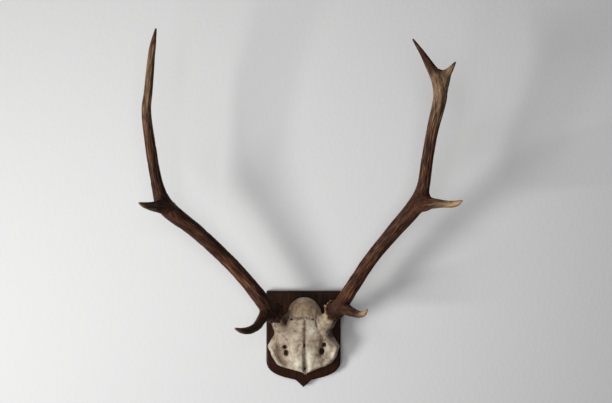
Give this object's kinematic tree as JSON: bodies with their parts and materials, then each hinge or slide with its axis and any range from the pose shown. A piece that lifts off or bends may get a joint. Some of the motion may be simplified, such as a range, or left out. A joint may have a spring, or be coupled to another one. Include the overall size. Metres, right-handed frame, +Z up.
{
  "type": "antler trophy",
  "caption": "Deer antlers grown on the front of a skull, the bone screwed to a dark wooden shield with a pointed foot that hangs flat on a wall.",
  "frame": {"origin": "on the flat back of the shield, midway across it and about midway up it, where it lies against the wall", "axes": "+Y into the wall, +Z up, +X to the viewer's right; the trophy faces -Y"},
  "size_m": [0.6499, 0.2651, 0.7616],
  "materials": {
    "wood": "dark stained and waxed",
    "bone": "dry weathered bone with brown stains",
    "antler": "dark brown grooved antler with paler worn tips",
    "steel": "dull zinc"
  },
  "bodies": {
    "root": {"shield": "wood", "skull": "bone", "skull_screw_1": "steel", "skull_screw_2": "steel", "left_lower_beam": "antler", "left_upper_beam": "antler", "left_brow_tine": "antler", "left_tray_tine": "antler", "right_lower_beam": "antler", "right_upper_beam": "antler", "right_top_tine_inner": "antler", "right_brow_tine": "antler", "right_tray_tine": "antler", "right_top_tine_outer": "antler"}
  },
  "joints": []
}
